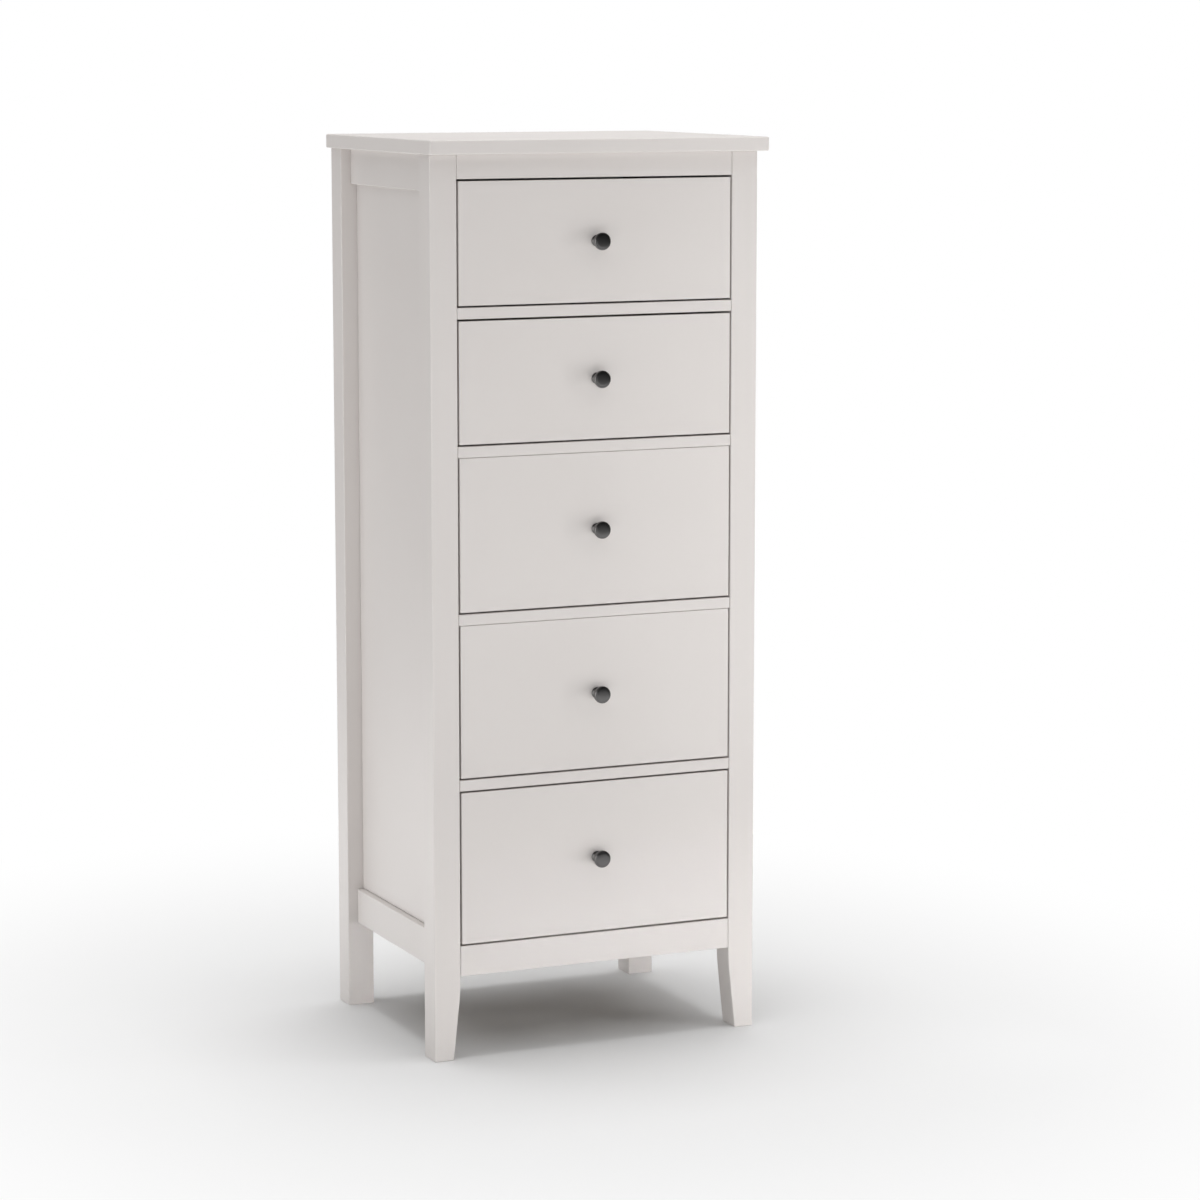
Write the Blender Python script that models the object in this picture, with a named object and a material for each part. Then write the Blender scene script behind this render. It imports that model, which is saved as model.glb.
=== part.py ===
"""Tall chest of five drawers: lacquered frame, inset drawer fronts, turned metal knobs.

Metres, +Z up. The drawers open towards -Y. The origin is on the floor, under the middle
of the whole chest, knobs and top included.
"""
import math

import bmesh
import bpy
from mathutils import Matrix, Vector

# ---- driving dimensions -------------------------------------------------------------
WIDTH = 0.502                 # over the outer faces of the legs
DEPTH = 0.390                 # from the front to the rear face of the legs
HEIGHT = 1.300                # floor to the upper face of the top
FIT = 0.0003                  # gap kept between pieces that touch

TOP_THICK = 0.020
TOP_SIDE_OVERHANG = 0.008
TOP_FRONT_OVERHANG = 0.022

LEG = 0.040                   # square section of the legs
LEG_TOE = 0.029               # width of a front leg at the floor
TAPER_CURVE = 0.020           # length of the soft bend where a front leg starts to taper
TAPER_STEPS = 5

FRONT_TOP_RAIL_HEIGHT = 0.034
FRONT_RAIL_THICK = 0.016
FRONT_RAIL_DEPTH = 0.045
APRON_HEIGHT = 0.044
APRON_THICK = 0.020
RAIL_SETBACK = 0.0005         # rails stand this far behind the front of the legs
OPENINGS = (0.177, 0.177, 0.220, 0.220, 0.223)   # clear heights, top drawer first

SIDE_RAIL_HEIGHT = 0.052
SIDE_RAIL_RECESS = 0.015      # behind the outer face of the legs
SIDE_PANEL_RECESS = 0.024
SIDE_BOTTOM_RAIL_Z = 0.126    # underside of the lower side and back rails

BACK_RAIL_THICK = 0.020
BACK_PANEL_THICK = 0.005
BACK_PANEL_RECESS = 0.005     # behind the rear face of the legs

RUNNER_WIDTH = 0.018

SIDE_REVEAL = 0.0026          # gap left and right of a drawer front
BOTTOM_REVEAL = 0.0026
TOP_REVEALS = (0.0029, 0.0029, 0.0004, 0.0004, 0.0025)
DRAWER_FRONT_THICK = 0.018
DRAWER_BOARD = 0.012          # sides and back of a drawer box
DRAWER_SIDE_PLAY = 0.0015     # between a drawer box and the frame, each side
DRAWER_RUN_GAP = 0.0004       # between a drawer side and its runner
DRAWER_HEAD_ROOM = 0.012      # from the drawer sides to the rail above
DRAWER_BACK_STEP = 0.006      # the drawer back is this much lower than the sides
DRAWER_REACH = 0.345          # from the front of the legs to the rear end of a drawer
DRAWER_BOTTOM_THICK = 0.004
DRAWER_BOTTOM_LIFT = 0.009    # lower edge of a drawer side to the underside of the bottom
GROOVE_DEPTH = 0.006
FRONT_GROOVE_MARGIN = 0.001   # the groove in a drawer front is longer than the bottom

KNOB_REACH = 0.024            # from the drawer front to the face of the knob
KNOB_FLANGE_RADIUS = 0.008
KNOB_FLANGE_THICK = 0.0015
KNOB_WAIST_RADIUS = 0.0052
KNOB_WAIST_REACH = 0.009      # where the knob is thinnest
KNOB_HEAD_RADIUS = 0.0123
KNOB_HEAD_BACK = 0.0152       # where the head begins
KNOB_BACK_ROUND = 0.0035      # rounding of the head's back and front edges
KNOB_FRONT_ROUND = 0.0028
KNOB_SIDES = 24
KNOB_ARC_STEPS = 4
SCREW_RADIUS = 0.002          # the knob is held by a screw from inside the drawer
SCREW_HEAD_RADIUS = 0.0045
SCREW_HEAD_THICK = 0.0024
SCREW_HEAD_ROUND = 0.0016
SCREW_HOLE_RADIUS = 0.0024

# ---- places worked out from the dimensions ----------------------------------------------
FRONT_Y = (KNOB_REACH - DEPTH) / 2     # front face of the legs
REAR_Y = FRONT_Y + DEPTH
HALF = WIDTH / 2
INNER = HALF - LEG                     # inner face of the legs and side panels
CARCASS_TOP = HEIGHT - TOP_THICK

MATERIALS = {
    "lacquered_wood": ((0.640, 0.610, 0.580, 1.0), 0.38, 0.0),
    "drawer_wood": ((0.620, 0.470, 0.320, 1.0), 0.60, 0.0),
    "hardboard": ((0.560, 0.540, 0.510, 1.0), 0.65, 0.0),
    "knob_metal": ((0.075, 0.078, 0.085, 1.0), 0.35, 1.0),
}


def clear_scene():
    """Remove every object that the file opened with."""
    for thing in list(bpy.data.objects):
        bpy.data.objects.remove(thing, do_unlink=True)


def make_material(name):
    """One plain material per node group: colour, roughness and metallic value."""
    colour, roughness, metallic = MATERIALS[name]
    material = bpy.data.materials.new(name)
    material.use_nodes = True
    shader = material.node_tree.nodes["Principled BSDF"]
    shader.inputs["Base Color"].default_value = colour
    shader.inputs["Roughness"].default_value = roughness
    shader.inputs["Metallic"].default_value = metallic
    material.diffuse_color = colour
    return material


def place(name, mesh, centre, material, parent=None):
    """Make an object from a mesh whose points are measured from the given centre."""
    thing = bpy.data.objects.new(name, mesh)
    thing.data.materials.append(bpy.data.materials[material])
    bpy.context.scene.collection.objects.link(thing)
    thing.location = centre
    if parent is not None:
        thing.parent = parent
        thing.location = centre - parent.location
    return thing


def board(name, low, high, material, parent=None):
    """A rectangular board between its lowest and highest corner."""
    low, high = Vector(low), Vector(high)
    shape = bmesh.new()
    bmesh.ops.create_cube(shape, size=1.0)
    bmesh.ops.scale(shape, vec=high - low, verts=shape.verts)
    mesh = bpy.data.meshes.new(name)
    shape.to_mesh(mesh)
    shape.free()
    return place(name, mesh, (low + high) / 2, material, parent)


def profile_board(name, outline, start_y, end_y, material, parent=None):
    """A board of one section, an outline of (x, z) points run from start_y to end_y."""
    shape = bmesh.new()
    ring = [shape.verts.new((x, start_y, z)) for x, z in outline]
    face = shape.faces.new(ring)
    swept = bmesh.ops.extrude_face_region(shape, geom=[face])
    moved = [item for item in swept["geom"] if isinstance(item, bmesh.types.BMVert)]
    bmesh.ops.translate(shape, verts=moved, vec=(0.0, end_y - start_y, 0.0))
    bmesh.ops.recalc_face_normals(shape, faces=shape.faces)
    corners = [vert.co.copy() for vert in shape.verts]
    centre = sum(corners, Vector()) / len(corners)
    bmesh.ops.translate(shape, verts=shape.verts, vec=-centre)
    mesh = bpy.data.meshes.new(name)
    shape.to_mesh(mesh)
    shape.free()
    return place(name, mesh, centre, material, parent)


def sides():
    """Left and right: the name's ending and the sign of x."""
    return (("left", -1), ("right", 1))


def mirrored(x_inner, x_outer, sign):
    """Two distances from the middle of the chest as a low and a high x on one side."""
    return sorted((sign * x_inner, sign * x_outer))


# ---- frame ------------------------------------------------------------------------------
def front_leg_outline(sign):
    """Straight beside the drawers, then a soft bend and a taper on the inner side."""
    bend_top = carcass_levels()[-1] - APRON_HEIGHT
    lean = math.atan2(LEG - LEG_TOE, bend_top - TAPER_CURVE)
    bend_radius = TAPER_CURVE / math.tan(lean / 2)
    points = [(HALF, 0.0), (HALF, CARCASS_TOP - FIT), (INNER, CARCASS_TOP - FIT)]
    for step in range(TAPER_STEPS + 1):
        turn = lean * step / TAPER_STEPS
        x = INNER + bend_radius * (1 - math.cos(turn))
        z = bend_top - bend_radius * math.sin(turn)
        points.append((x, z))
    points.append((HALF - LEG_TOE, 0.0))
    return [(sign * x, z) for x, z in points]


def carcass_levels():
    """Heights of the drawer openings: top of the first, then the bottom of each."""
    level = CARCASS_TOP - FRONT_TOP_RAIL_HEIGHT
    levels = [level]
    for opening in OPENINGS:
        level -= opening
        levels.append(level)
        level -= FRONT_RAIL_THICK
    return levels


def opening_of(number):
    """Bottom and top height of a drawer's opening, the top drawer being number 1."""
    bottom = carcass_levels()[number]
    return bottom, bottom + OPENINGS[number - 1]


def make_top():
    board("top_panel",
          (-HALF - TOP_SIDE_OVERHANG, FRONT_Y - TOP_FRONT_OVERHANG, CARCASS_TOP),
          (HALF + TOP_SIDE_OVERHANG, REAR_Y, HEIGHT), "lacquered_wood")


def make_legs():
    for side, sign in sides():
        profile_board("front_leg_" + side, front_leg_outline(sign), FRONT_Y, FRONT_Y + LEG,
                      "lacquered_wood")
        low_x, high_x = mirrored(INNER, HALF, sign)
        board("rear_leg_" + side, (low_x, REAR_Y - LEG, 0.0),
              (high_x, REAR_Y, CARCASS_TOP - FIT), "lacquered_wood")


def make_sides():
    """Each side is a panel between two rails, all three between the front and rear leg."""
    front = FRONT_Y + LEG + FIT
    rear = REAR_Y - LEG - FIT
    top_rail_z = CARCASS_TOP - SIDE_RAIL_HEIGHT
    bottom_rail_top = SIDE_BOTTOM_RAIL_Z + SIDE_RAIL_HEIGHT
    for side, sign in sides():
        low_x, high_x = mirrored(INNER, HALF - SIDE_RAIL_RECESS, sign)
        board("side_top_rail_" + side, (low_x, front, top_rail_z),
              (high_x, rear, CARCASS_TOP - FIT), "lacquered_wood")
        board("side_bottom_rail_" + side, (low_x, front, SIDE_BOTTOM_RAIL_Z),
              (high_x, rear, bottom_rail_top), "lacquered_wood")
        low_x, high_x = mirrored(INNER, HALF - SIDE_PANEL_RECESS, sign)
        board("side_panel_" + side, (low_x, front, bottom_rail_top + FIT),
              (high_x, rear, top_rail_z - FIT), "lacquered_wood")


def make_front_rails():
    """Top rail, one rail under each of the four upper drawers, and the apron."""
    half = INNER - FIT
    front = FRONT_Y + RAIL_SETBACK
    levels = carcass_levels()
    board("front_top_rail", (-half, front, levels[0]),
          (half, FRONT_Y + APRON_THICK, CARCASS_TOP - FIT), "lacquered_wood")
    for number, level in enumerate(levels[1:-1], start=1):
        board("front_rail_%d" % number, (-half, front, level - FRONT_RAIL_THICK),
              (half, FRONT_Y + FRONT_RAIL_DEPTH, level), "lacquered_wood")
    board("front_apron", (-half, front, levels[-1] - APRON_HEIGHT),
          (half, FRONT_Y + APRON_THICK, levels[-1]), "lacquered_wood")


def make_back():
    """Two rails between the rear legs, with a thin panel on their rear faces."""
    half = INNER - FIT
    panel_rear = REAR_Y - BACK_PANEL_RECESS
    panel_front = panel_rear - BACK_PANEL_THICK
    rail_rear = panel_front - FIT
    rail_front = rail_rear - BACK_RAIL_THICK
    board("back_panel", (-half, panel_front, SIDE_BOTTOM_RAIL_Z),
          (half, panel_rear, CARCASS_TOP - FIT), "hardboard")
    board("back_top_rail", (-half, rail_front, CARCASS_TOP - SIDE_RAIL_HEIGHT),
          (half, rail_rear, CARCASS_TOP - FIT), "lacquered_wood")
    board("back_bottom_rail", (-half, rail_front, SIDE_BOTTOM_RAIL_Z),
          (half, rail_rear, SIDE_BOTTOM_RAIL_Z + SIDE_RAIL_HEIGHT), "lacquered_wood")


def make_runners():
    """A strip on each side panel, level with the rail that its drawer slides over."""
    rear = REAR_Y - BACK_PANEL_RECESS - BACK_PANEL_THICK - BACK_RAIL_THICK - 2 * FIT
    outer = INNER - FIT
    inner = outer - RUNNER_WIDTH
    for number in range(1, len(OPENINGS) + 1):
        level = opening_of(number)[0]
        is_lowest = number == len(OPENINGS)
        rail_depth = APRON_THICK if is_lowest else FRONT_RAIL_DEPTH
        for side, sign in sides():
            low_x, high_x = mirrored(inner, outer, sign)
            board("runner_%d_%s" % (number, side),
                  (low_x, FRONT_Y + rail_depth + FIT, level - FRONT_RAIL_THICK),
                  (high_x, rear, level), "drawer_wood")


# ---- drawers ----------------------------------------------------------------------------
def side_outline(outer, bottom, top, sign):
    """Section of a drawer side: a board with a groove for the drawer bottom."""
    inner = outer - DRAWER_BOARD
    groove_low = bottom + DRAWER_BOTTOM_LIFT - FIT
    groove_high = groove_low + DRAWER_BOTTOM_THICK + 2 * FIT
    deep = inner + GROOVE_DEPTH
    points = [(outer, bottom), (outer, top), (inner, top),
              (inner, groove_high), (deep, groove_high),
              (deep, groove_low), (inner, groove_low), (inner, bottom)]
    return [(sign * x, z) for x, z in points]


def cut_with(thing, cutter):
    """Cut one hidden shape out of a piece."""
    cutter.hide_render = True
    cutter.display_type = "WIRE"
    cut = thing.modifiers.new(cutter.name, "BOOLEAN")
    cut.operation = "DIFFERENCE"
    cut.solver = "EXACT"
    cut.object = cutter


def rod_along_y(name, radius, length, centre, material):
    """A plain round rod through a point, used to drill a drawer front."""
    shape = bmesh.new()
    bmesh.ops.create_cone(shape, cap_ends=True, segments=KNOB_SIDES, radius1=radius,
                          radius2=radius, depth=length)
    bmesh.ops.rotate(shape, verts=shape.verts, matrix=Matrix.Rotation(math.pi / 2, 3, "X"))
    mesh = bpy.data.meshes.new(name)
    shape.to_mesh(mesh)
    shape.free()
    return place(name, mesh, centre, material)


def quarter(centre, size, start, end):
    """Quarter of an ellipse in a knob's section, as (reach, radius), angles in degrees."""
    points = []
    for step in range(KNOB_ARC_STEPS + 1):
        angle = math.radians(start + (end - start) * step / KNOB_ARC_STEPS)
        points.append((centre[0] + size[0] * math.cos(angle),
                       centre[1] + size[1] * math.sin(angle)))
    return points


def knob_section():
    """Half section of a knob and its screw, as (reach, radius), from inside the drawer
    outwards: screw head, shank through the drawer front, flange, waist, round head."""
    cove = (KNOB_WAIST_REACH - KNOB_FLANGE_THICK, KNOB_FLANGE_RADIUS - KNOB_WAIST_RADIUS)
    back_radius = KNOB_HEAD_RADIUS - KNOB_BACK_ROUND
    flare = (KNOB_HEAD_BACK - KNOB_WAIST_REACH, back_radius - KNOB_WAIST_RADIUS)
    back_centre = (KNOB_HEAD_BACK + KNOB_BACK_ROUND, back_radius)
    front_centre = (KNOB_REACH - KNOB_FRONT_ROUND, KNOB_HEAD_RADIUS - KNOB_FRONT_ROUND)
    screw_rear = -DRAWER_FRONT_THICK - FIT
    screw_head = (screw_rear - SCREW_HEAD_THICK + SCREW_HEAD_ROUND,
                  SCREW_HEAD_RADIUS - SCREW_HEAD_ROUND)
    section = [(screw_rear - SCREW_HEAD_THICK, 0.0)]
    section += quarter(screw_head, (SCREW_HEAD_ROUND, SCREW_HEAD_ROUND), 180, 90)
    section += [(screw_rear, SCREW_HEAD_RADIUS), (screw_rear, SCREW_RADIUS),
                (FIT, SCREW_RADIUS), (FIT, KNOB_FLANGE_RADIUS)]
    section += quarter((KNOB_WAIST_REACH, KNOB_FLANGE_RADIUS), cove, 180, 270)
    section += quarter((KNOB_WAIST_REACH, back_radius), flare, 270, 360)
    section += quarter(back_centre, (KNOB_BACK_ROUND, KNOB_BACK_ROUND), 180, 90)
    section += quarter(front_centre, (KNOB_FRONT_ROUND, KNOB_FRONT_ROUND), 90, 0)
    section.append((KNOB_REACH, 0.0))
    return section


def knob_mesh():
    """The knob, turned about the slide axis with its outer end towards -Y."""
    shape = bmesh.new()
    line = [shape.verts.new((radius, -reach, 0.0)) for reach, radius in knob_section()]
    edges = [shape.edges.new(pair) for pair in zip(line, line[1:])]
    bmesh.ops.spin(shape, geom=line + edges, cent=(0, 0, 0), axis=(0, 1, 0), dvec=(0, 0, 0),
                   angle=math.tau, steps=KNOB_SIDES, use_merge=False)
    bmesh.ops.remove_doubles(shape, verts=shape.verts, dist=FIT / 10)
    bmesh.ops.recalc_face_normals(shape, faces=shape.faces)
    mesh = bpy.data.meshes.new("knob")
    shape.to_mesh(mesh)
    shape.free()
    mesh.shade_smooth()
    mesh.set_sharp_from_angle(angle=math.radians(40))
    return mesh


def make_drawer(number, knob):
    """One drawer: front, two grooved sides, back, thin bottom and knob, on one slide."""
    opening_low, opening_high = opening_of(number)
    top_reveal = TOP_REVEALS[number - 1]
    front_low = opening_low + BOTTOM_REVEAL
    front_high = opening_high - top_reveal
    slide = bpy.data.objects.new("drawer_%d_slide" % number, None)
    bpy.context.scene.collection.objects.link(slide)
    slide.location = (0.0, FRONT_Y, (front_low + front_high) / 2)
    name = "drawer_%d_" % number

    front_half = INNER - SIDE_REVEAL
    front_rear = FRONT_Y + DRAWER_FRONT_THICK
    front = board(name + "front", (-front_half, FRONT_Y, front_low),
                  (front_half, front_rear, front_high), "lacquered_wood", slide)

    outer = INNER - DRAWER_SIDE_PLAY
    inner = outer - DRAWER_BOARD
    low = opening_low + DRAWER_RUN_GAP
    high = opening_high - DRAWER_HEAD_ROOM
    rear = FRONT_Y + DRAWER_REACH
    for side, sign in sides():
        profile_board(name + "side_" + side, side_outline(outer, low, high, sign),
                      front_rear + FIT, rear, "drawer_wood", slide)

    bottom_low = low + DRAWER_BOTTOM_LIFT
    bottom_high = bottom_low + DRAWER_BOTTOM_THICK
    bottom_half = inner + GROOVE_DEPTH - FIT
    bottom_front = front_rear - GROOVE_DEPTH + FIT
    board(name + "bottom", (-bottom_half, bottom_front, bottom_low),
          (bottom_half, rear, bottom_high), "hardboard", slide)
    board(name + "back", (-inner + FIT, rear - DRAWER_BOARD, bottom_high + FIT),
          (inner - FIT, rear, high - DRAWER_BACK_STEP), "drawer_wood", slide)

    groove_half = bottom_half + FRONT_GROOVE_MARGIN
    cut_with(front, board(front.name + "_groove",
                          (-groove_half, front_rear - GROOVE_DEPTH, bottom_low - FIT),
                          (groove_half, front_rear + GROOVE_DEPTH, bottom_high + FIT),
                          "drawer_wood"))
    middle = Vector(slide.location)
    cut_with(front, rod_along_y(front.name + "_hole", SCREW_HOLE_RADIUS,
                                4 * DRAWER_FRONT_THICK, middle, "drawer_wood"))
    place(name + "knob", knob, middle, "knob_metal", slide)


def main():
    clear_scene()
    for name in MATERIALS:
        make_material(name)
    make_top()
    make_legs()
    make_sides()
    make_front_rails()
    make_back()
    make_runners()
    knob = knob_mesh()
    for number in range(1, len(OPENINGS) + 1):
        make_drawer(number, knob)


main()
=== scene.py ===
import math

import bmesh
import bpy
from mathutils import Matrix, Vector


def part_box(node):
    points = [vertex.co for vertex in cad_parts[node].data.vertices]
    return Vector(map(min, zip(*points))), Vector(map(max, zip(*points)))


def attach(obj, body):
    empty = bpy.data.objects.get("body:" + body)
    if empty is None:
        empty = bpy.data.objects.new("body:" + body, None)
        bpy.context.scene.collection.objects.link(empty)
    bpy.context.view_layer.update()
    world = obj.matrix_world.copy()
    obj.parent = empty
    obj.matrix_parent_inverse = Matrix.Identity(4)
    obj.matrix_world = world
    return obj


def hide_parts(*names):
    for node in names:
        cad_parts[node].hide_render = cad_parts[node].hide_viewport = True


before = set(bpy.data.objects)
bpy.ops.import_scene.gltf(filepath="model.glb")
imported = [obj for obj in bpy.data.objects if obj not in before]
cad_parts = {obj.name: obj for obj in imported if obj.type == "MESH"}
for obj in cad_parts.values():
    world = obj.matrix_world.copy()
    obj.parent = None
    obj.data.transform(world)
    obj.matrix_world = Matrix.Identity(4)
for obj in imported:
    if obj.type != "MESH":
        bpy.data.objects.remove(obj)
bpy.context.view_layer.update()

# Looks of a tall chest of five drawers. Metres, +Z up, the drawers open towards -Y.
DRAWERS = range(1, 6)

# ---- camera -----------------------------------------------------------------------------
CAMERA_PLACE = (-2.145, -4.972, 1.430)
CAMERA_YAW = 24.18            # degrees to the right of straight at the front
CAMERA_DOWN = 8.47            # degrees below the horizon
CAMERA_LENS = 112.03
CAMERA_SENSOR = 36.0
CAMERA_SIGHT = 100.0          # how far it sees

# ---- finishes ---------------------------------------------------------------------------
LACQUER = (0.684, 0.649, 0.628)
LACQUER_DEEP = (0.674, 0.638, 0.617)
WOOD_LIGHT = (0.660, 0.535, 0.390)
WOOD_DARK = (0.545, 0.410, 0.275)
BOARD_FACE = (0.620, 0.592, 0.560)
BOARD_DEEP = (0.540, 0.512, 0.478)
KNOB_METAL = (0.150, 0.147, 0.145)
ZINC = (0.50, 0.50, 0.51)

# Noise is 0 to 1 and mostly near 0.5; these are the parts of it that are spread out.
MOST = (0.35, 0.65)
ALMOST_ALL = (0.3, 0.7)
UPPER_PART = (0.45, 0.80)
UPPER_HALF = (0.50, 0.80)
PIECE_SHIFT = (7.0, 11.0, 13.0)   # moves the pattern from piece to piece
EVEN = (1.0, 1.0, 1.0)        # no stretch of the pattern along any axis
WHITE_LIGHT = (1.0, 1.0, 1.0, 1.0)

LACQUER_CLOUDS = 5.0          # noise scales, larger is finer
LACQUER_GRAIN = 240.0
LACQUER_PEEL = 420.0
LACQUER_STRETCH = 0.06        # grain is this much slower along the board
LACQUER_GRAIN_HEIGHT = 0.00004
LACQUER_PEEL_HEIGHT = 0.00005
LACQUER_ROUGHNESS = (0.34, 0.42)
LACQUER_IOR = 1.48

WOOD_RINGS = 15.0
WOOD_PORES = 620.0
WOOD_CLOUDS = 4.0
WOOD_RING_STRETCH = 0.025
WOOD_PORE_STRETCH = 0.02
WOOD_RING = 0.055             # share of the ring pattern between a pale and a dark ring
WOOD_RING_DEPTH = 0.60        # how far each pattern goes towards the dark tone
WOOD_PORE_DEPTH = 0.30
WOOD_CLOUD_DEPTH = 0.20
WOOD_PORE_HEIGHT = 0.00008
WOOD_ROUGHNESS = (0.52, 0.68)

BOARD_CLOUDS = 3.0
BOARD_FIBRES = 260.0
BOARD_CLOUD_DEPTH = 0.25
BOARD_FIBRE_DEPTH = 0.75
BOARD_FIBRE_HEIGHT = 0.00008
BOARD_ROUGHNESS = (0.55, 0.70)

KNOB_CLOUDS = 90.0
KNOB_FINE = 1500.0
KNOB_LIGHTER = 1.25           # the clouds' lighter tone
KNOB_FINE_HEIGHT = 0.00001
KNOB_ROUGHNESS = (0.34, 0.44)

ZINC_CLOUDS = 700.0
ZINC_DARKER = 0.8
ZINC_ROUGHNESS = (0.30, 0.45)

# ---- edges of the boards ----------------------------------------------------------------
LEG_ROUND = 0.0015            # sanded and lacquered edges
RAIL_ROUND = 0.0010
FRONT_ROUND = 0.0005
TOP_ROUND = 0.0022
WOOD_ROUND = 0.0008
THIN_ROUND = 0.0004
ROUND_STEPS = 3
EDGE_FROM = 30                # degrees between two faces that make a real edge
SHARP_FROM = 40               # and the same on turned pieces
FLAT_WITHIN = 1
SAME_POINT = 0.00001
GAP = 0.0003                  # between fixed pieces that touch

ARC_STEPS = 8

# ---- knobs ------------------------------------------------------------------------------
KNOB_SIDES = 96
KNOB_FLANGE_RADIUS = 0.0080
KNOB_FLANGE_THICK = 0.0015
KNOB_FLANGE_EASE = 0.0004
KNOB_WAIST_RADIUS = 0.0052
KNOB_WAIST_REACH = 0.0090     # where the knob is thinnest
KNOB_HEAD_BACK = 0.0152       # where the head begins
KNOB_BACK_ROUND = 0.0035
KNOB_FRONT_ROUND = 0.0020
KNOB_DOME = 0.0012            # how far the middle of the face stands out
KNOB_RING = 0.0003            # fine turned step around the face

# ---- screws, pins and blocks ------------------------------------------------------------
SCREW_RADIUS = 0.0045
SCREW_HEIGHT = 0.0024
SCREW_CROSS = 0.0046
SCREW_SLOT = 0.0011
SCREW_RECESS = (0.35, 1.5)    # lowest and highest point of its cutter, as shares of the height
SCREW_SIDES = 32
PIN_RADIUS = 0.0022
PIN_HEIGHT = 0.0006
PIN_SIDES = 16
PIN_STEPS = 4
CAM_SIZE = 1.6                # a cam lock is this much wider than a screw head
CAM_SETBACK = 0.028
SMALL = 0.8                   # sizes of screws, as shares of the plain screw head
RAISED = 0.8                  # and how far they stand out
HALF_SUNK = 0.5
SUNK = 0.35
END_MARGIN = 0.030            # from the end of a board to its first screw or pin
CORNER_MARGIN = 0.020
RUNNER_SCREWS = 3             # along each runner and kicker
BACK_PINS = 6                 # along each back rail
BOTTOM_PINS = 4               # along the rear of each drawer bottom
FIXING_HEIGHTS = (0.30, 0.78)  # of cam locks and rear screws, as shares of the side's height
KICKER_HEIGHT = 0.016
BLOCK_SIZE = 0.036
BLOCK_SCREW = (0.55, 0.25)    # place of its screw, as shares of the block's two short sides


SIDES = (("left", -1), ("right", 1))  # the ending of a name and the sign of x


# ---- node helpers -----------------------------------------------------------------------
class Tree:
    """A material's node tree, with short ways to add and join its nodes."""

    def __init__(self, name):
        self.material = bpy.data.materials.new(name)
        self.material.use_nodes = True
        self.nodes = self.material.node_tree.nodes
        self.links = self.material.node_tree.links
        self.shader = self.nodes["Principled BSDF"]

    def add(self, kind, **inputs):
        """A node with its named inputs set to numbers or joined to other sockets."""
        node = self.nodes.new("ShaderNode" + kind)
        for key, value in inputs.items():
            self.put(node.inputs[key.replace("_", " ")], value)
        return node

    def put(self, socket, value):
        """Join a socket to another, or set it to a number or colour."""
        if isinstance(value, bpy.types.NodeSocket):
            self.links.new(value, socket)
        else:
            socket.default_value = value

    def set(self, **inputs):
        """Numbers, colours or sockets for the surface shader's inputs."""
        for key, value in inputs.items():
            self.put(self.shader.inputs[key.replace("_", " ")], value)

    def place(self, stretch):
        """Object coordinates shifted for each piece and scaled along each axis."""
        where = self.add("TexCoord").outputs["Object"]
        piece = self.add("ObjectInfo").outputs["Random"]
        shift = self.vector_maths("SCALE", PIECE_SHIFT)
        self.put(shift.inputs["Scale"], piece)
        mapping = self.add("Mapping", Vector=where, Location=shift.outputs[0], Scale=stretch)
        return mapping.outputs["Vector"]

    def noise(self, vector, scale, detail=3.0, roughness=0.5, distortion=0.0):
        """The grey value of a noise pattern."""
        made = self.add("TexNoise", Vector=vector, Scale=scale, Detail=detail,
                        Roughness=roughness, Distortion=distortion)
        return made.outputs["Fac"]

    def spread(self, value, old, new, way="LINEAR"):
        """A value moved from an old range to a new one and held inside it."""
        made = self.add("MapRange", Value=value)
        made.interpolation_type = way
        for end, place in (("Min", 0), ("Max", 1)):
            made.inputs["From " + end].default_value = old[place]
            made.inputs["To " + end].default_value = new[place]
        return made.outputs["Result"]

    def maths(self, operation, first, second):
        """The result of an operation on two numbers or sockets."""
        made = self.nodes.new("ShaderNodeMath")
        made.operation = operation
        self.put(made.inputs[0], first)
        self.put(made.inputs[1], second)
        return made.outputs["Value"]

    def vector_maths(self, operation, *values):
        """A node for an operation on vectors."""
        made = self.nodes.new("ShaderNodeVectorMath")
        made.operation = operation
        for place, value in enumerate(values):
            self.put(made.inputs[place], value)
        return made

    def blend(self, share, first, second):
        """A colour between two colours."""
        mix = self.nodes.new("ShaderNodeMix")
        mix.data_type = "RGBA"
        self.put(mix.inputs["Factor"], share)
        self.put(mix.inputs["A"], first if not isinstance(first, tuple) else (*first, 1.0))
        self.put(mix.inputs["B"], second if not isinstance(second, tuple) else (*second, 1.0))
        return mix.outputs["Result"]

    def bump(self, height, distance, under=None):
        """A fine relief in metres, on top of another one if that is given."""
        made = self.add("Bump", Height=height, Distance=distance, Strength=1.0)
        if under is not None:
            self.put(made.inputs["Normal"], under)
        return made.outputs["Normal"]


def along(axis, across, lengthwise):
    """Texture scales with the grain running along one axis, 0 to 2."""
    stretch = [across] * 3
    stretch[axis] = lengthwise
    return tuple(stretch)


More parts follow.
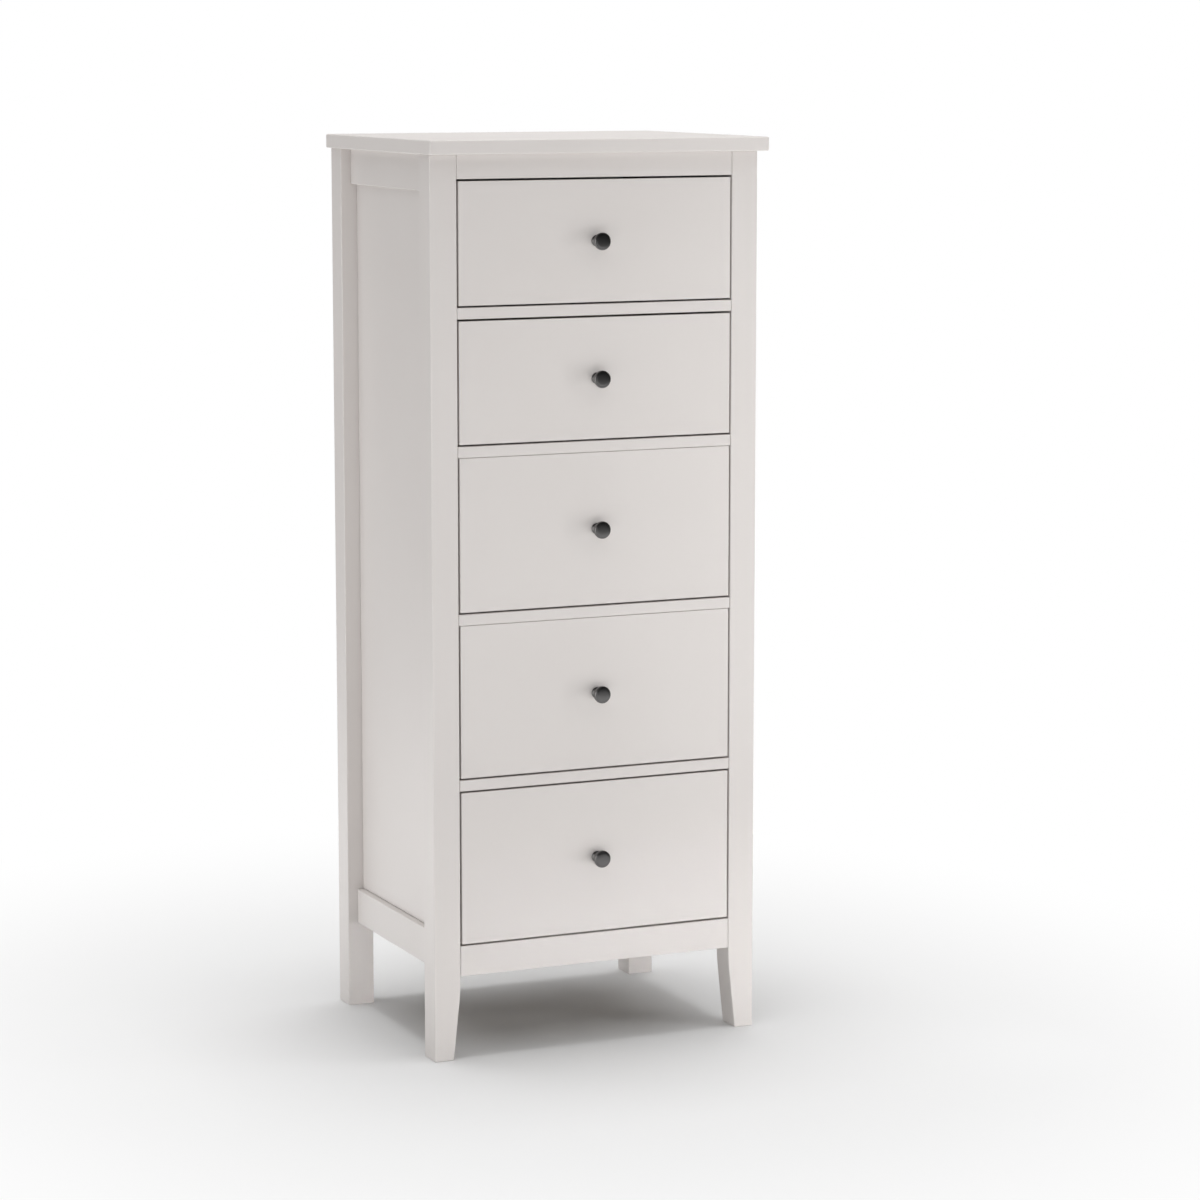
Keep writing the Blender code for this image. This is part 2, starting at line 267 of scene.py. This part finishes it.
def make_lacquer(name, axis):
    """Satin lacquer on wood: faint orange peel, fainter grain, slight changes of tone."""
    tree = Tree(name)
    grain_place = tree.place(along(axis, 1.0, LACQUER_STRETCH))
    plain_place = tree.place(EVEN)
    clouds = tree.noise(plain_place, LACQUER_CLOUDS, detail=2.0)
    grain = tree.noise(grain_place, LACQUER_GRAIN, detail=4.0, roughness=0.6)
    peel = tree.noise(plain_place, LACQUER_PEEL, detail=1.0)
    share = tree.spread(clouds, MOST, (0.0, 1.0))
    grain_bump = tree.bump(grain, LACQUER_GRAIN_HEIGHT)
    tree.set(Base_Color=tree.blend(share, LACQUER_DEEP, LACQUER),
             Roughness=tree.spread(peel, ALMOST_ALL, LACQUER_ROUGHNESS),
             IOR=LACQUER_IOR,
             Normal=tree.bump(peel, LACQUER_PEEL_HEIGHT, under=grain_bump))
    return tree.material


def make_wood(name, axis):
    """Sanded pale pine with its grain along one axis: wide soft rings and fine pores."""
    tree = Tree(name)
    ring_place = tree.place(along(axis, 1.0, WOOD_RING_STRETCH))
    pore_place = tree.place(along(axis, 1.0, WOOD_PORE_STRETCH))
    plain_place = tree.place(EVEN)
    rings = tree.noise(ring_place, WOOD_RINGS, detail=1.5, roughness=0.4, distortion=0.35)
    bands = tree.maths("PINGPONG", rings, WOOD_RING)
    pores = tree.noise(pore_place, WOOD_PORES, detail=3.0, roughness=0.7)
    clouds = tree.noise(plain_place, WOOD_CLOUDS, detail=1.0)
    ring_share = tree.spread(bands, (0.0, WOOD_RING), (0.0, WOOD_RING_DEPTH))
    pore_share = tree.spread(pores, UPPER_PART, (0.0, WOOD_PORE_DEPTH))
    cloud_share = tree.spread(clouds, MOST, (0.0, WOOD_CLOUD_DEPTH))
    colour = tree.blend(ring_share, WOOD_LIGHT, WOOD_DARK)
    colour = tree.blend(pore_share, colour, WOOD_DARK)
    colour = tree.blend(cloud_share, colour, WOOD_DARK)
    tree.set(Base_Color=colour,
             Roughness=tree.spread(pores, ALMOST_ALL, WOOD_ROUGHNESS),
             Normal=tree.bump(pores, WOOD_PORE_HEIGHT))
    return tree.material


def make_hardboard(name):
    """Thin fibreboard with a painted face, through which its fibres show a little."""
    tree = Tree(name)
    place = tree.place(EVEN)
    fibres = tree.noise(place, BOARD_FIBRES, detail=5.0, roughness=0.7)
    clouds = tree.noise(place, BOARD_CLOUDS, detail=1.0)
    cloud_share = tree.spread(clouds, MOST, (0.0, BOARD_CLOUD_DEPTH))
    fibre_share = tree.spread(fibres, UPPER_HALF, (0.0, BOARD_FIBRE_DEPTH))
    colour = tree.blend(cloud_share, BOARD_FACE, BOARD_DEEP)
    colour = tree.blend(fibre_share, colour, BOARD_DEEP)
    tree.set(Base_Color=colour,
             Roughness=tree.spread(fibres, ALMOST_ALL, BOARD_ROUGHNESS),
             Normal=tree.bump(fibres, BOARD_FIBRE_HEIGHT))
    return tree.material


def make_knob_metal(name):
    """Dark satin metal, faintly turned."""
    tree = Tree(name)
    place = tree.place(EVEN)
    clouds = tree.noise(place, KNOB_CLOUDS, detail=3.0)
    fine = tree.noise(place, KNOB_FINE, detail=2.0)
    lighter = tuple(part * KNOB_LIGHTER for part in KNOB_METAL)
    tree.set(Base_Color=tree.blend(clouds, KNOB_METAL, lighter),
             Roughness=tree.spread(fine, ALMOST_ALL, KNOB_ROUGHNESS),
             Metallic=1.0,
             Normal=tree.bump(fine, KNOB_FINE_HEIGHT))
    return tree.material


def make_zinc(name):
    """Plated steel of screws and pins."""
    tree = Tree(name)
    place = tree.place(EVEN)
    clouds = tree.noise(place, ZINC_CLOUDS, detail=3.0)
    darker = tuple(part * ZINC_DARKER for part in ZINC)
    tree.set(Base_Color=tree.blend(clouds, ZINC, darker),
             Roughness=tree.spread(clouds, ALMOST_ALL, ZINC_ROUGHNESS),
             Metallic=1.0)
    return tree.material


MATERIALS = {}
for letter, grain_axis in (("x", 0), ("y", 1), ("z", 2)):
    MATERIALS["lacquer_" + letter] = make_lacquer("lacquer_" + letter, grain_axis)
    MATERIALS["wood_" + letter] = make_wood("wood_" + letter, grain_axis)
MATERIALS["hardboard"] = make_hardboard("hardboard")
MATERIALS["knob"] = make_knob_metal("knob")
MATERIALS["zinc"] = make_zinc("zinc")


# ---- CAD boards with eased edges ---------------------------------------------------------
def longest_axis(node):
    """The letter of the axis along which a CAD node is longest."""
    low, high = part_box(node)
    spans = list(high - low)
    return "xyz"[spans.index(max(spans))]


def ease_edges(thing, edge):
    """Round every real edge of a board by a small radius, without touching its mesh."""
    weld = thing.modifiers.new("weld", "WELD")
    weld.merge_threshold = SAME_POINT
    flat = thing.modifiers.new("flat", "DECIMATE")
    flat.decimate_type = "DISSOLVE"
    flat.angle_limit = math.radians(FLAT_WITHIN)
    ease = thing.modifiers.new("ease", "BEVEL")
    ease.width = edge
    ease.segments = ROUND_STEPS
    ease.limit_method = "ANGLE"
    ease.angle_limit = math.radians(EDGE_FROM)
    ease.use_clamp_overlap = False
    ease.harden_normals = True


def finish_board(node, material, edge):
    """Give a CAD board its finish and its eased edges."""
    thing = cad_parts[node]
    thing.material_slots[0].material = MATERIALS[material]
    ease_edges(thing, edge)


def finish_boards():
    """Choose the finish and edges of every CAD node by its name."""
    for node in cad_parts:
        if node.endswith("knob"):
            continue
        if node == "back_panel" or node.endswith("_bottom"):
            finish_board(node, "hardboard", THIN_ROUND)
        elif node.startswith("runner") or "_side_left" in node or "_side_right" in node:
            finish_board(node, "wood_y", WOOD_ROUND)
        elif node.startswith("drawer") and node.endswith("_back"):
            finish_board(node, "wood_x", WOOD_ROUND)
        elif node == "top_panel":
            finish_board(node, "lacquer_x", TOP_ROUND)
        else:
            edge = FRONT_ROUND
            if "_leg_" in node or "side_" in node:
                edge = LEG_ROUND
            elif "rail" in node or "apron" in node:
                edge = RAIL_ROUND
            finish_board(node, "lacquer_" + longest_axis(node), edge)


# ---- shapes -----------------------------------------------------------------------------
def block(shape, low, high):
    """Add a box between two corners to a shape."""
    low, high = Vector(low), Vector(high)
    size = Matrix.Diagonal((*(high - low), 1.0))
    bmesh.ops.create_cube(shape, size=1.0, matrix=Matrix.Translation((low + high) / 2) @ size)


def prism(shape, outline, low_z, high_z):
    """Add an upright prism over an outline of (x, y) points to a shape."""
    ring = [shape.verts.new((x, y, low_z)) for x, y in outline]
    swept = bmesh.ops.extrude_face_region(shape, geom=[shape.faces.new(ring)])
    moved = [item for item in swept["geom"] if isinstance(item, bmesh.types.BMVert)]
    bmesh.ops.translate(shape, verts=moved, vec=(0.0, 0.0, high_z - low_z))
    bmesh.ops.recalc_face_normals(shape, faces=shape.faces)


def turned(section, steps):
    """A mesh turned about +Z from (height, radius) points that begin and end on the axis."""
    shape = bmesh.new()
    line = [shape.verts.new((radius, 0.0, height)) for height, radius in section]
    edges = [shape.edges.new(pair) for pair in zip(line, line[1:])]
    bmesh.ops.spin(shape, geom=line + edges, cent=(0, 0, 0), axis=(0, 0, 1),
                   angle=math.tau, steps=steps)
    bmesh.ops.remove_doubles(shape, verts=shape.verts, dist=SAME_POINT)
    bmesh.ops.recalc_face_normals(shape, faces=shape.faces)
    mesh = bpy.data.meshes.new("turned")
    shape.to_mesh(mesh)
    shape.free()
    return mesh


def arc(centre, size, start, end, steps=ARC_STEPS):
    """Part of an ellipse in a turned section; angles in degrees, 0 points up the axis."""
    points = []
    for step in range(steps + 1):
        angle = math.radians(start + (end - start) * step / steps)
        points.append((centre[0] + size[0] * math.cos(angle),
                       centre[1] + size[1] * math.sin(angle)))
    return points


def facing(point, direction):
    """A place at a point with its own +Z along a direction."""
    turn = Vector(direction).to_track_quat("Z", "Y").to_matrix().to_4x4()
    return Matrix.Translation(point) @ turn


def copies(mesh, places):
    """One shape with a copy of a mesh at each place."""
    shape = bmesh.new()
    for where in places:
        before = set(shape.verts)
        shape.from_mesh(mesh)
        added = [vert for vert in shape.verts if vert not in before]
        bmesh.ops.transform(shape, matrix=where, verts=added)
    return shape


def add_piece(name, shape, material, body, edge=None):
    """Make a piece of the chest from a shape, with eased edges if an edge is given."""
    mesh = bpy.data.meshes.new(name)
    shape.to_mesh(mesh)
    shape.free()
    thing = bpy.data.objects.new(name, mesh)
    bpy.context.scene.collection.objects.link(thing)
    mesh.materials.append(MATERIALS[material])
    if edge is None:
        mesh.shade_smooth()
        mesh.set_sharp_from_angle(angle=math.radians(SHARP_FROM))
    else:
        ease_edges(thing, edge)
    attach(thing, body)
    return thing


# ---- knobs ------------------------------------------------------------------------------
def knob_section(reach, radius):
    """Half section of a knob from its flange on the drawer front to its domed face."""
    back_radius = radius - KNOB_BACK_ROUND
    waist = (KNOB_WAIST_REACH, KNOB_WAIST_RADIUS)
    cove = (waist[0] - KNOB_FLANGE_THICK, KNOB_FLANGE_RADIUS - waist[1])
    flare = (KNOB_HEAD_BACK - waist[0], back_radius - waist[1])
    rim = (reach - KNOB_DOME - KNOB_FRONT_ROUND, radius - KNOB_FRONT_ROUND)
    section = [(0.0, 0.0), (0.0, KNOB_FLANGE_RADIUS - KNOB_FLANGE_EASE),
               (KNOB_FLANGE_EASE, KNOB_FLANGE_RADIUS)]
    section += arc((waist[0], KNOB_FLANGE_RADIUS), cove, 180, 270)
    section += arc((waist[0], back_radius), flare, 270, 360)
    section += arc((KNOB_HEAD_BACK + KNOB_BACK_ROUND, back_radius),
                   (KNOB_BACK_ROUND, KNOB_BACK_ROUND), 180, 90)
    section += arc(rim, (KNOB_FRONT_ROUND, KNOB_FRONT_ROUND), 90, 0)
    face_radius = rim[1] - KNOB_RING
    section.append((reach - KNOB_DOME - KNOB_RING, face_radius))
    section += arc((reach - KNOB_DOME, 0.0), (KNOB_DOME, face_radius), 90, 0)
    return section


def make_knobs():
    """Turned knobs with a domed face, in place of the plainer CAD ones."""
    for number in DRAWERS:
        node = "drawer_%d_knob" % number
        low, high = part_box(node)
        front_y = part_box("drawer_%d_front" % number)[0].y
        middle = (low + high) / 2
        mesh = turned(knob_section(front_y - low.y, (high.z - low.z) / 2), KNOB_SIDES)
        place = facing((middle.x, front_y, middle.z), (0.0, -1.0, 0.0))
        knob = add_piece("drawer_%d_turned_knob" % number, copies(mesh, [place]), "knob",
                         "drawer_%d" % number)
        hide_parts(node)


# ---- screws and pins ----------------------------------------------------------------------
def screw_head():
    """A low round screw head with a cross recess, its underside at 0 and facing +Z."""
    dome = arc((0.0, SCREW_RADIUS - SCREW_HEIGHT), (SCREW_HEIGHT, SCREW_HEIGHT), 90, 0)
    section = [(0.0, 0.0), (0.0, SCREW_RADIUS)] + dome[1:] + [(SCREW_HEIGHT, 0.0)]
    mesh = turned(section, SCREW_SIDES)
    head = bpy.data.objects.new("screw_head", mesh)
    cross = bmesh.new()
    low_z, high_z = (SCREW_HEIGHT * share for share in SCREW_RECESS)
    for length, width in ((SCREW_CROSS, SCREW_SLOT), (SCREW_SLOT, SCREW_CROSS)):
        block(cross, (-length / 2, -width / 2, low_z), (length / 2, width / 2, high_z))
    cross_mesh = bpy.data.meshes.new("cross")
    cross.to_mesh(cross_mesh)
    cross.free()
    cutter = bpy.data.objects.new("cross", cross_mesh)
    for thing in (head, cutter):
        bpy.context.scene.collection.objects.link(thing)
    cut = head.modifiers.new("recess", "BOOLEAN")
    cut.object = cutter
    cut.use_self = True
    ready = head.evaluated_get(bpy.context.evaluated_depsgraph_get())
    result = bpy.data.meshes.new_from_object(ready)
    for thing in (head, cutter):
        bpy.data.objects.remove(thing)
    return result


def pin_head():
    """A small domed nail head, its underside at 0 and facing +Z."""
    dome = arc((0.0, 0.0), (PIN_HEIGHT, PIN_RADIUS), 90, 0, steps=PIN_STEPS)
    return turned([(0.0, 0.0)] + dome, PIN_SIDES)


SCREW_HEAD = screw_head()
PIN_HEAD = pin_head()


def screws(name, places, body, size=1.0, lift=1.0):
    """Screw heads at several places as one piece, scaled across and in height."""
    scale = Matrix.Diagonal((size, size, lift, 1.0))
    shape = copies(SCREW_HEAD, [place @ scale for place in places])
    return add_piece(name, shape, "zinc", body)


def pins(name, places, body):
    """Pin heads at several places as one piece."""
    return add_piece(name, copies(PIN_HEAD, places), "zinc", body)


def inner_x(node, sign):
    """The x of a node's face that looks to the middle of the chest."""
    low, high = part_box(node)
    return sign * min(abs(low.x), abs(high.x))


def evenly(low, high, count, margin):
    """Places spread evenly between two ends, a margin inside each."""
    step = (high - low - 2 * margin) / (count - 1)
    return [low + margin + step * index for index in range(count)]


# ---- inside the frame -----------------------------------------------------------------------
def make_runner_screws():
    """Screws that hold each runner to the side panel."""
    for side, sign in SIDES:
        places = []
        for number in DRAWERS:
            runner = "runner_%d_%s" % (number, side)
            x = inner_x(runner, sign)
            low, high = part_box(runner)
            for y in evenly(low.y, high.y, RUNNER_SCREWS, END_MARGIN):
                places.append(facing((x, y, (low.z + high.z) / 2), (-sign, 0.0, 0.0)))
        screws("runner_screws_" + side, places, "carcass", size=SMALL, lift=HALF_SUNK)


def make_kickers():
    """A strip above each side of the top drawer, which keeps it from tipping when open."""
    rail_low, rail_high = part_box("front_top_rail")
    for side, sign in SIDES:
        runner_low, runner_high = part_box("runner_1_" + side)
        shape = bmesh.new()
        low = (runner_low.x, rail_high.y + GAP, rail_low.z)
        high = (runner_high.x, runner_high.y, rail_low.z + KICKER_HEIGHT)
        block(shape, low, high)
        add_piece("kicker_" + side, shape, "wood_y", "carcass", WOOD_ROUND)
        x = inner_x("runner_1_" + side, sign)
        places = [facing((x, y, (low[2] + high[2]) / 2), (-sign, 0.0, 0.0))
                  for y in evenly(low[1], high[1], RUNNER_SCREWS, END_MARGIN)]
        screws("kicker_screws_" + side, places, "carcass", size=SMALL, lift=HALF_SUNK)


def make_corner_blocks():
    """Three-cornered blocks under the top, each with a screw up into it."""
    front_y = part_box("front_top_rail")[1].y + GAP
    rear_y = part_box("back_top_rail")[0].y - GAP
    top_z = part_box("top_panel")[0].z - GAP
    low_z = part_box("front_top_rail")[0].z + KICKER_HEIGHT + GAP
    for side, sign in SIDES:
        outer_x = inner_x("rear_leg_" + side, sign) - sign * GAP
        for end, y, inward in (("front", front_y, 1), ("rear", rear_y, -1)):
            outline = [(outer_x, y), (outer_x - sign * BLOCK_SIZE, y),
                       (outer_x, y + inward * BLOCK_SIZE)]
            shape = bmesh.new()
            prism(shape, outline, low_z, top_z)
            name = "corner_block_%s_%s" % (end, side)
            add_piece(name, shape, "wood_y", "carcass", WOOD_ROUND)
            middle = (outer_x - sign * BLOCK_SIZE * BLOCK_SCREW[0],
                      y + inward * BLOCK_SIZE * BLOCK_SCREW[1], low_z)
            screws(name + "_screw", [facing(middle, (0.0, 0.0, -1.0))], "carcass", lift=RAISED)


def make_back_pins():
    """Pins fasten the back panel to the two back rails."""
    low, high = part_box("back_panel")
    places = []
    for rail in ("back_top_rail", "back_bottom_rail"):
        rail_low, rail_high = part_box(rail)
        z = (rail_low.z + rail_high.z) / 2
        for x in evenly(low.x, high.x, BACK_PINS, CORNER_MARGIN):
            places.append(facing((x, high.y, z), (0.0, 1.0, 0.0)))
    pins("back_panel_pins", places, "carcass")


# ---- inside the drawers ----------------------------------------------------------------------
def make_drawer_hardware():
    """Knob screws, cam locks at the front, screws at the rear and pins underneath."""
    for number in DRAWERS:
        body = "drawer_%d" % number
        name = body + "_"
        back_low, back_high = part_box(name + "back")
        back_y = (back_low.y + back_high.y) / 2
        knob_low, knob_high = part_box(name + "knob")
        inside = (0.0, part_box(name + "front")[1].y, (knob_low.z + knob_high.z) / 2)
        screws(name + "knob_screw", [facing(inside, (0.0, 1.0, 0.0))], body)

        cams = []
        rear_screws = []
        for side, sign in SIDES:
            low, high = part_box(name + "side_" + side)
            inside_x = inner_x(name + "side_" + side, sign)
            outer_x = sign * max(abs(low.x), abs(high.x))
            for share in FIXING_HEIGHTS:
                z = low.z + share * (high.z - low.z)
                cams.append(facing((inside_x, low.y + CAM_SETBACK, z), (-sign, 0.0, 0.0)))
                rear_screws.append(facing((outer_x, back_y, z), (sign, 0.0, 0.0)))
        screws(name + "cam_locks", cams, body, size=CAM_SIZE, lift=SUNK)
        screws(name + "rear_screws", rear_screws, body, size=SMALL, lift=SUNK)

        bottom_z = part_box(name + "bottom")[0].z
        places = [facing((x, back_y, bottom_z), (0.0, 0.0, -1.0))
                  for x in evenly(back_low.x, back_high.x, BOTTOM_PINS, END_MARGIN)]
        pins(name + "bottom_pins", places, body)


# ---- stage ------------------------------------------------------------------------------
FLOOR_REACH = 30.0
FLOOR_SIDES = 96
FLOOR_TONE = 0.73
FLOOR_ROUGHNESS = 0.9
FLOOR_SPECULAR = 0.1
FLOOR_MIDDLE = (-0.045, -0.054, 0.0)
FLOOR_SQUEEZE = (1.14, 1.0, 1.0)   # the lit patch is a little narrower than it is deep
FLOOR_LIT = (0.15, 1.49)      # from lit paper to a painted white glow between these reaches, so the floor is painted lighter with reach
FLOOR_SHINE = (1.8, 4.5)      # reflections see the white fade out between these
FLOOR_GLOW = 1.265            # strength of the light that the white floor sends out
WHITE = 1.0                   # strength at which it looks white

LIGHTS = (
    # name, place, aimed at, width, height, spread in degrees, power, shading that it takes part in
    ("right", (0.75, -0.62, 0.75), (0.2, -0.2, 0.75), 0.12, 1.3, 90, 0.836, "matt"),
    ("front_low", (0.0, -2.4, 0.20), (0.0, -0.2, 0.25), 2.4, 0.25, 70, 1.526, "matt"),
    ("front_feet", (0.2, -3.2, 0.05), (0.05, -0.2, 0.04), 1.6, 0.06, 12, 0.128, "matt"),
    ("right_feet", (1.6, -2.9, 0.06), (0.2, -0.2, 0.05), 0.8, 0.06, 12, 0.246, "matt"),
    ("left_low", (-2.2, -0.1, 0.15), (-0.25, 0.0, 0.35), 1.8, 0.25, 70, 1.637, "matt"),
    ("left_feet", (-1.2, 0.0, 0.10), (-0.25, 0.0, 0.12), 1.0, 0.10, 50, 0.123, "matt"),
    ("left_glint", (-2.6, -1.3, 0.9), (-0.25, -0.2, 0.75), 1.2, 1.8, 180, 40.0, "glossy"),
    ("rear_high", (1.4, 3.2, 2.0), (0.0, 0.1, 1.3), 1.2, 0.5, 25, 0.040, "both"),
    ("above", (0.0, 0.0, 3.4), (0.0, 0.0, 0.0), 8.0, 8.0, 180, 221.9, "matt"),
    ("overhead", (0.0, 0.2, 9.0), (0.0, 0.0, 0.0), 3.6, 3.6, 180, 359.5, "matt"),
)


def make_floor():
    """A pale floor whose far reaches glow plain white, so that it has no horizon. The glow is
    painted light: it grows with reach from a point near the chest, so the floor is painted lighter
    away from the chest, and it also lights the chest.
    """
    shape = bmesh.new()
    bmesh.ops.create_circle(shape, cap_ends=True, radius=FLOOR_REACH, segments=FLOOR_SIDES)
    mesh = bpy.data.meshes.new("floor")
    shape.to_mesh(mesh)
    shape.free()
    floor = bpy.data.objects.new("floor", mesh)
    bpy.context.scene.collection.objects.link(floor)
    tree = Tree("floor")
    where = tree.add("NewGeometry").outputs["Position"]
    moved = tree.vector_maths("SUBTRACT", where, FLOOR_MIDDLE)
    squeezed = tree.vector_maths("MULTIPLY", moved.outputs["Vector"], FLOOR_SQUEEZE)
    reach = tree.vector_maths("LENGTH", squeezed.outputs["Vector"]).outputs["Value"]
    far = tree.spread(reach, FLOOR_LIT, (0.0, 1.0), "SMOOTHSTEP")
    tree.set(Base_Color=(FLOOR_TONE, FLOOR_TONE, FLOOR_TONE, 1.0),
             Roughness=FLOOR_ROUGHNESS,
             Specular_IOR_Level=FLOOR_SPECULAR)
    rays = tree.add("LightPath").outputs
    fade = tree.spread(reach, FLOOR_SHINE, (0.0, 1.0))
    hidden = tree.maths("MULTIPLY", rays["Is Glossy Ray"], fade)
    sent = tree.spread(hidden, (0.0, 1.0), (FLOOR_GLOW, 0.0))
    seen = tree.nodes.new("ShaderNodeMix")
    tree.put(seen.inputs["Factor"], rays["Is Camera Ray"])
    tree.put(seen.inputs["A"], sent)
    tree.put(seen.inputs["B"], WHITE)
    # painted light: the floor's glow, plain white to the camera and FLOOR_GLOW strong onto the
    # chest
    glow = tree.add("Emission", Color=WHITE_LIGHT, Strength=seen.outputs["Result"])
    mix = tree.add("MixShader", Fac=far)
    tree.put(mix.inputs[1], tree.shader.outputs[0])
    tree.put(mix.inputs[2], glow.outputs[0])
    tree.put(tree.nodes["Material Output"].inputs["Surface"], mix.outputs[0])
    mesh.materials.append(tree.material)


def make_world():
    """White behind everything; it looks white to the camera and sends no light."""
    world = bpy.data.worlds.new("studio")
    world.use_nodes = True
    bpy.context.scene.world = world
    nodes = world.node_tree.nodes
    links = world.node_tree.links
    dark = nodes["Background"]
    seen = nodes.new("ShaderNodeBackground")
    for background, strength in ((dark, 0.0), (seen, WHITE)):
        background.inputs["Color"].default_value = WHITE_LIGHT
        background.inputs["Strength"].default_value = strength
    ray = nodes.new("ShaderNodeLightPath")
    mix = nodes.new("ShaderNodeMixShader")
    links.new(ray.outputs["Is Camera Ray"], mix.inputs["Fac"])
    links.new(dark.outputs[0], mix.inputs[1])
    links.new(seen.outputs[0], mix.inputs[2])
    links.new(mix.outputs[0], nodes["World Output"].inputs["Surface"])


def aim(thing, target):
    """Turn a camera or light so that it looks at a point."""
    thing.rotation_euler = (Vector(target) - thing.location).to_track_quat("-Z", "Y").to_euler()


def make_lights():
    """Soft lights, unseen by the camera; most of them don't show in reflections either."""
    for name, place, target, width, height, spread, power, kind in LIGHTS:
        lamp = bpy.data.lights.new(name, "AREA")
        lamp.shape = "RECTANGLE"
        lamp.size = width
        lamp.size_y = height
        lamp.spread = math.radians(spread)
        lamp.energy = power
        thing = bpy.data.objects.new(name, lamp)
        bpy.context.scene.collection.objects.link(thing)
        thing.location = place
        thing.visible_camera = False
        thing.visible_glossy = kind != "matt"
        thing.visible_diffuse = kind != "glossy"
        aim(thing, target)


def make_camera():
    """A long lens, from the left of the front and a little above the top."""
    data = bpy.data.cameras.new("camera")
    data.sensor_width = CAMERA_SENSOR
    data.lens = CAMERA_LENS
    data.clip_end = CAMERA_SIGHT
    camera = bpy.data.objects.new("camera", data)
    bpy.context.scene.collection.objects.link(camera)
    camera.location = CAMERA_PLACE
    camera.rotation_euler = (math.radians(90 - CAMERA_DOWN), 0.0, math.radians(-CAMERA_YAW))
    bpy.context.scene.camera = camera


finish_boards()
make_knobs()
make_kickers()
make_corner_blocks()
make_runner_screws()
make_back_pins()
make_drawer_hardware()
make_floor()
make_world()
make_lights()
make_camera()
bpy.context.scene.view_settings.view_transform = "Standard"
bpy.context.view_layer.update()
